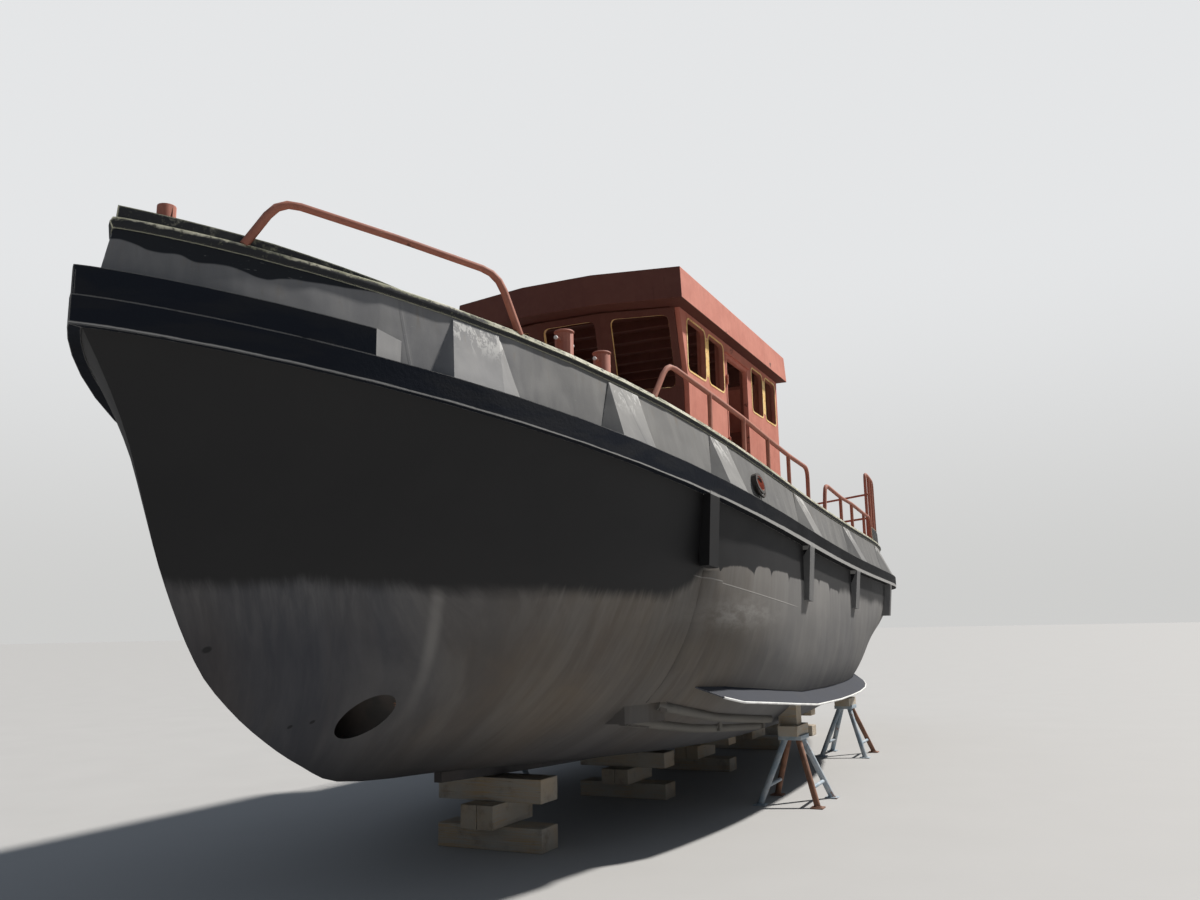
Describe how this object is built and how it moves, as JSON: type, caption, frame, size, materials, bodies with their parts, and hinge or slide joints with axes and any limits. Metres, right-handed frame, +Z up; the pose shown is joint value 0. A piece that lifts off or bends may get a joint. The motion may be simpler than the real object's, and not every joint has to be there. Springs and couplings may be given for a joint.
{
  "type": "harbour tug ashore on stands",
  "caption": "Steel harbour tugboat with a bare primed wheelhouse, bulwarks, rails, rudder and propeller, ashore on timber blocks and pipe trestles.",
  "frame": {"origin": "on the floor under the middle of the length and beam", "axes": "+X towards the bow, +Y to port, +Z up"},
  "size_m": [14.9, 4.044, 4.8],
  "materials": {
    "hull_paint": "matt black paint, weathered grey-brown with brush streaks below the water line",
    "strake_paint": "semi-matt blue-black paint with bare bright plate edges",
    "bulwark_paint": "thin faded grey-black paint, scuffed",
    "cap_paint": "weathered pale paint with dark scuffs",
    "deck_primer": "red-brown primer, dusty",
    "red_primer": "matt red oxide primer, rust stained",
    "rail_primer": "matt red-brown primer, rusting",
    "galvanic_steel": "grey paint with a bare pale edge",
    "rudder_steel": "matt black paint, rust stained",
    "bronze": "dull cast bronze",
    "shaft_steel": "worn steel",
    "timber": "weathered sawn softwood",
    "trestle_paint": "chipped blue-grey paint over rust"
  },
  "bodies": {
    "hull": {"hull": "hull_paint", "keel": "hull_paint", "bilge_keel_port": "galvanic_steel", "bilge_keel_starboard": "galvanic_steel", "keel_cooler_port": "hull_paint", "keel_cooler_starboard": "hull_paint", "deck_bow": "deck_primer", "deck_fore": "deck_primer", "deck_house": "deck_primer", "deck_aft": "deck_primer", "rubbing_strake_port": "strake_paint", "rubbing_strake_starboard": "strake_paint", "bow_fender_box": "strake_paint", "bulwark_fore_port": "bulwark_paint", "bulwark_fore_starboard": "bulwark_paint", "bulwark_aft_port": "bulwark_paint", "bulwark_aft_starboard": "bulwark_paint", "cap_rail_fore_port": "cap_paint", "cap_rail_fore_starboard": "cap_paint", "cap_rail_aft_port": "cap_paint", "cap_rail_aft_starboard": "cap_paint", "bow_rail_port": "rail_primer", "bow_rail_starboard": "rail_primer", "side_rail_port": "rail_primer", "side_rail_starboard": "rail_primer", "quarter_rail_port": "rail_primer", "quarter_rail_starboard": "rail_primer", "stern_rail_port": "rail_primer", "stern_rail_starboard": "rail_primer", "fore_bitts_port": "red_primer", "fore_bitts_starboard": "red_primer", "bow_post": "rail_primer", "tow_bitt": "red_primer", "fore_hatch_coaming": "red_primer", "engine_hatch_coaming": "red_primer", "wheelhouse_front": "red_primer", "wheelhouse_port": "red_primer", "wheelhouse_starboard": "red_primer", "wheelhouse_aft": "red_primer", "wheelhouse_roof": "red_primer", "keel_block_1": "timber", "keel_block_2": "timber", "keel_block_3": "timber", "keel_block_4": "timber", "keel_block_5": "timber", "trestle_fore_port": "trestle_paint", "trestle_pad_fore_port": "timber", "trestle_fore_starboard": "trestle_paint", "trestle_pad_fore_starboard": "timber", "trestle_aft_port": "trestle_paint", "trestle_pad_aft_port": "timber", "trestle_aft_starboard": "trestle_paint", "trestle_pad_aft_starboard": "timber"},
    "rudder": {"rudder": "rudder_steel"},
    "screw": {"propeller": "bronze", "propeller_shaft": "shaft_steel"},
    "fore_hatch": {"fore_hatch_lid": "red_primer"},
    "engine_hatch": {"engine_hatch_lid": "red_primer"}
  },
  "joints": [
    {"name": "rudder_turn", "type": "hinge", "parent": "hull", "child": "rudder", "pos_m": [-6.06, 0, 1], "axis": [0, 0, 1], "range_deg": [-35, 35]},
    {"name": "screw_spin", "type": "hinge", "parent": "hull", "child": "screw", "pos_m": [-5.5, 0, 0.93], "axis": [1, 0, 0], "continuous": true},
    {"name": "fore_hatch_hinge", "type": "hinge", "parent": "hull", "child": "fore_hatch", "pos_m": [3.73, 0, 2.72], "axis": [0, 1, 0], "range_deg": [0, 95]},
    {"name": "engine_hatch_hinge", "type": "hinge", "parent": "hull", "child": "engine_hatch", "pos_m": [-4.17, 0, 2.368], "axis": [0, 1, 0], "range_deg": [0, 95]}
  ]
}
